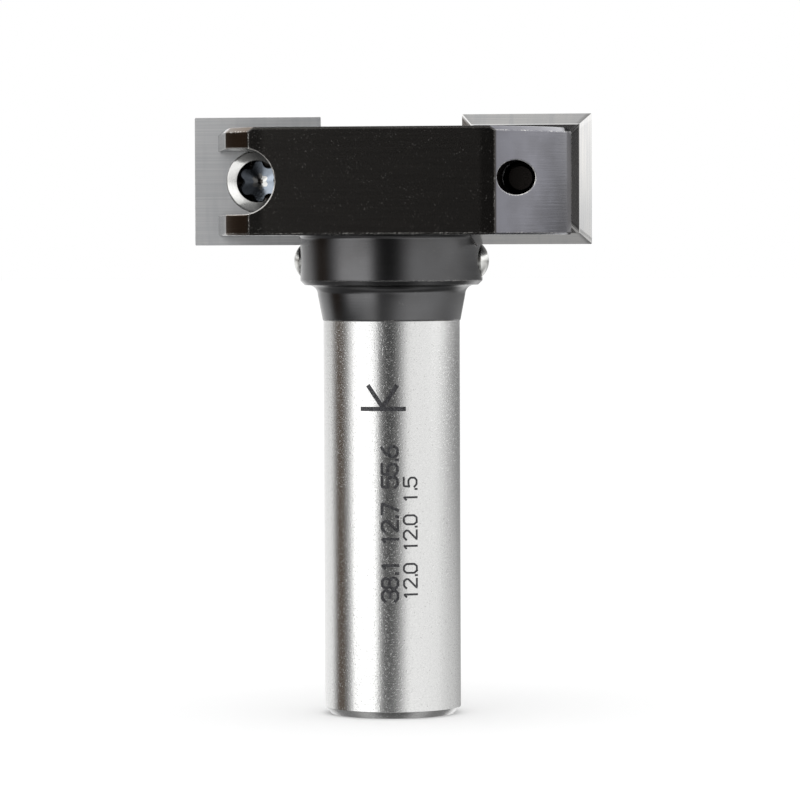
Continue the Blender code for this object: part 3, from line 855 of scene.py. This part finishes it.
def screwFinishes(piece, shape):
    # 0 polished, 1 painted shade in the recess and on the thread, 2 painted shade on the recess's
    # level floor, lighter and bluer
    places = faceData(piece, "center") / mm
    reach = np.hypot(places[:, 0], places[:, 1])
    inRecess = (reach < shape["recessOuter"]) & (places[:, 2] > shape["darkAbove"])
    onFloor = inRecess & (faceData(piece, "normal")[:, 2] > 0.9)
    return np.where(onFloor, 2, inRecess | (places[:, 2] < shape["darkBelow"]))


dress(body, (blackOxide, groundSteel), faceData(body, "center")[:, 2] < bodyShape["shankTop"] * mm)
dress(knife, (groundCarbide, lappedCarbide), faceData(knife, "normal")[:, 2] < 0.9)
dress(screw, (screwSteel, screwSteelPaintedShade, recessFloorPaintedShade), screwFinishes(screw, screwShape))
dress(pin, (pinSteel,))
dress(shankMarks, (etchedMark,))


def fitStation(piece, name, turn):
    # a copy of an insert or screw at its place, turned round the tool's axis
    fitted = bpy.data.objects.new(name, piece.data.copy())
    bpy.context.scene.collection.objects.link(fitted)
    return placed(fitted, Matrix.Rotation(turn, 4, "Z") @ insertPlace())


knifeLeft, knifeRight = fitStation(knife, "knifeLeft", 0), fitStation(knife, "knifeRight", math.pi)
screwLeft, screwRight = fitStation(screw, "screwLeft", 0), fitStation(screw, "screwRight", math.pi)
for pattern in (knife, screw):
    bpy.data.objects.remove(pattern)

for piece, node, slotName in (
        (body, "cutter_body", "body_steel"),
        (knifeLeft, "insert_left", "carbide"), (knifeRight, "insert_right", "carbide"),
        (screwLeft, "insert_screw_left", "screw_steel"),
        (screwRight, "insert_screw_right", "screw_steel"),
        (pin, "cross_pin", "pin_steel")):
    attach(piece, "root")
    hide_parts(node)
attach(shankMarks, "root")
print("pieces dressed")


# Camera: the photograph's view, from a little right of the flats and level with the collar

cameraSet = {"azimuth": 7.6, "distance": 408.0, "eyeHeight": 43.1, "pitch": -1.953, "roll": -0.2,
             "focalPixels": 4381.0, "sideShift": 0.75, "imageSize": 800, "sensorWidth": 36}


def makeCamera(settings):
    angle = math.radians(settings["azimuth"])
    back = Vector((math.sin(angle), -math.cos(angle), 0))
    right = Vector((math.cos(angle), math.sin(angle), 0))
    data = bpy.data.cameras.new("photoCamera")
    data.sensor_width = settings["sensorWidth"]
    data.lens = settings["focalPixels"] / settings["imageSize"] * data.sensor_width
    data.clip_start, data.clip_end = 0.01, 20
    camera = bpy.data.objects.new("photoCamera", data)
    bpy.context.scene.collection.objects.link(camera)
    place = back * settings["distance"] * mm + right * settings["sideShift"] * mm
    camera.location = place + Vector((0, 0, settings["eyeHeight"] * mm))
    pitch = math.radians(settings["pitch"])
    ahead = -back * math.cos(pitch) + Vector((0, 0, math.sin(pitch)))
    camera.rotation_mode = "QUATERNION"
    roll = Matrix.Rotation(math.radians(settings["roll"]), 3, "Z").to_quaternion()
    camera.rotation_quaternion = ahead.to_track_quat("-Z", "Y") @ roll
    bpy.context.scene.camera = camera


makeCamera(cameraSet)


# Studio: white floor, a soft lamp, and a world whose bright and dark parts are the softboxes and
# the gaps between them

studio = {
    "front": 7.6, "worldLight": 1.15, "floorSize": 12.0, "floorWhite": 0.9,
    "overhead": 1.8, "zenith": 0.3, "foot": 0.25, "table": 0.55, "nadir": 0.12,
    # heights of a view direction, from -1 straight down to 1 straight up
    "ceilingStart": (0.05, 0.17), "gapLift": 0.45, "tableEdge": (-0.6, -0.4),
}
softbox = {"azimuth": -20, "elevation": 70, "distance": 1.0, "size": 0.8, "power": 1.2,
           "aimHeight": 0.03}

# what polished metal sees: degrees round from the camera, with a grey level or a colour
brownDark = (0.11, 0.078, 0.055, 1.0)
ceilingGap = [(-180, 0), (-19, 0), (-15, 1), (45, 1), (70, 0), (180, 0)]
underBand = [  # well below the tool
    (-180, 1.1), (-115, 0.35), (-88, 0.2), (-68, 0.27), (-52, 0.75), (-42, 1.15), (-32, 1.2),
    (-18, 0.4), (-3, 0.6), (12, 1.2), (28, 1.6), (61, 1.5), (80, 1.25), (101, 0.85), (121, 0.5),
    (138, 1.1), (180, 1.2)]
footBand = [  # level with the foot of the shank
    (-180, 1.13), (-124, 1.2), (-113, 0.5), (-105, brownDark), (-91, brownDark), (-84, 0.2),
    (-76, 0.7), (-70, 1.6), (-64, 2.2), (-31, 2.2), (-26, 1.4), (-19, 0.2), (-10, 0.06), (0, 0.05),
    (8, 0.15), (16, 0.6), (26, 1.2), (84, 1.15), (100, 1.0), (125, 0.85), (150, 0.6), (165, 0.45),
    (174, 0.8), (180, 1.13)]
lowBand = [  # level with the top of the shank
    (-180, 1.13), (-124, 1.1), (-113, 0.45), (-105, brownDark), (-91, brownDark), (-84, 0.26),
    (-76, 0.9), (-70, 1.6), (-64, 2.2), (-31, 2.2), (-26, 1.5), (-19, 0.28), (-10, 0.08), (0, 0.07),
    (8, 0.22), (16, 0.66), (26, 1.2), (74, 1.15), (84, 0.95), (96, 0.68), (112, 0.4), (134, 0.24),
    (160, 0.26), (172, 0.8), (180, 1.13)]
eyeBand = [  # level with the collar
    (-180, 1.13), (-166, 0.9), (-130, 0.7), (-113, brownDark), (-98, 0.13), (-86, 0.3), (-73, 0.8),
    (-60, 1.1), (-47, 1.2), (-38, 0.7), (-28, 0.2), (-17, 0.08), (0, 0.06), (12, 0.18), (23, 0.7),
    (33, 1.1), (66, 1.25), (79, 1.5), (93, 1.35), (109, 0.6), (128, 0.29), (155, 0.3), (172, 0.8),
    (180, 1.13)]
highBand = [  # level with the head
    (-180, 0.45), (-165, 0.4), (-140, 0.4), (-118, brownDark), (-90, brownDark), (-76, 0.9),
    (-66, 1.5), (-44, 1.3), (-31, 1.0), (-22, 0.16), (-14, 0.07), (6, 0.07), (18, 0.45), (30, 1.2),
    (60, 1.25), (74, 1.4), (87, 1.8), (101, 1.8), (118, 1.4), (130, 1.25), (155, 1.1), (180, 0.5)]
# where each band has taken over from the one below it
bandLevels = [(-1, -1, underBand), (-0.3, -0.2, footBand), (-0.12, -0.04, lowBand),
              (-0.014, -0.008, eyeBand), (0.0, 0.03, highBand)]


def makeRamp(tree, value, stops):
    # stops are (position, grey level or colour) pairs
    ramp = addNode(tree, "ShaderNodeValToRGB", inputs={0: value})
    setRamp(ramp, [(position, level if isinstance(level, tuple) else grey(level))
                   for position, level in stops])
    return ramp.outputs[0]


def azimuthRamp(tree, turn, stops):
    return makeRamp(tree, turn, [((angle + 180) / 360, level) for angle, level in stops])


def makeWorld(settings, levels):
    # bands by azimuth one above the other, a bright ceiling with a dark gap ahead, and the table
    world = bpy.data.worlds.new("studio")
    bpy.context.scene.world = world
    world.use_nodes = True
    tree = world.node_tree
    tree.nodes.clear()
    direction = addNode(tree, "ShaderNodeTexCoord").outputs["Generated"]
    x, y, height = addNode(tree, "ShaderNodeSeparateXYZ", inputs={0: direction}).outputs
    bearing = maths(tree, "ARCTAN2", x, maths(tree, "MULTIPLY", y, -1.0))
    turn = maths(tree, "FRACT", maths(tree, "MULTIPLY_ADD", bearing, 1 / fullTurn,
                                      0.5 - settings["front"] / 360))
    band = azimuthRamp(tree, turn, levels[0][2])
    for start, end, stops in levels[1:]:
        band = mixColour(tree, fade(tree, height, start, end), band,
                         azimuthRamp(tree, turn, stops))
    gap = product(tree, azimuthRamp(tree, turn, ceilingGap), settings["gapLift"])
    ceiling = makeRamp(tree, height, [(0.8, settings["overhead"]), (0.98, settings["zenith"])])
    lit = mixColour(tree, fade(tree, maths(tree, "SUBTRACT", height, gap),
                               *settings["ceilingStart"]), band, ceiling)
    table = makeRamp(tree, maths(tree, "MULTIPLY", height, -1.0),
                     [(0.8, settings["foot"]), (0.9, settings["table"]),
                      (0.94, settings["table"]), (0.98, settings["nadir"])])
    seen = mixColour(tree, fade(tree, height, *settings["tableEdge"]), table, lit)

    # metal sees the bands, matt surfaces an even light, and the camera plain white
    path = addNode(tree, "ShaderNodeLightPath")
    metalSees, fill, white = (
        addNode(tree, "ShaderNodeBackground", inputs={"Color": colour, "Strength": strength})
        for colour, strength in ((seen, 1.0), (grey(1.0), settings["worldLight"]),
                                 (grey(1.0), 1.0)))
    glossy = addNode(tree, "ShaderNodeMixShader", inputs={
        0: path.outputs["Is Glossy Ray"], 1: fill.outputs[0], 2: metalSees.outputs[0]})
    direct = addNode(tree, "ShaderNodeMixShader", inputs={
        0: path.outputs["Is Camera Ray"], 1: glossy.outputs[0], 2: white.outputs[0]})
    addNode(tree, "ShaderNodeOutputWorld", inputs={"Surface": direct.outputs[0]})


def makeFloor(settings):
    half = settings["floorSize"] / 2
    corners = np.array([(-half, -half, 0), (half, -half, 0), (half, half, 0), (-half, half, 0)])
    floor = makePiece("floor", corners, [[0, 1, 2, 3]])
    finish, tree = newMaterial("whitePaper")
    matt = addNode(tree, "ShaderNodeBsdfDiffuse", inputs={"Color": grey(settings["floorWhite"])})
    closeMaterial(tree, matt.outputs[0])
    floor.data.materials.append(finish)
    floor.visible_glossy = False


def addLamp(name, settings, front):
    # a square softbox that faces the middle of the tool
    around, up = math.radians(settings["azimuth"] + front), math.radians(settings["elevation"])
    back = Vector((math.sin(around) * math.cos(up), -math.cos(around) * math.cos(up),
                   math.sin(up)))
    data = bpy.data.lights.new(name, "AREA")
    data.shape, data.size, data.energy = "SQUARE", settings["size"], settings["power"]
    lamp = bpy.data.objects.new(name, data)
    bpy.context.scene.collection.objects.link(lamp)
    lamp.location = Vector((0, 0, settings["aimHeight"])) + back * settings["distance"]
    lamp.rotation_mode = "QUATERNION"
    lamp.rotation_quaternion = (-back).to_track_quat("-Z", "Y")
    lamp.visible_glossy = False


makeWorld(studio, bandLevels)
makeFloor(studio)
addLamp("topSoftbox", softbox, studio["front"])

scene = bpy.context.scene
scene.view_settings.view_transform = "Standard"

print("scene ready")
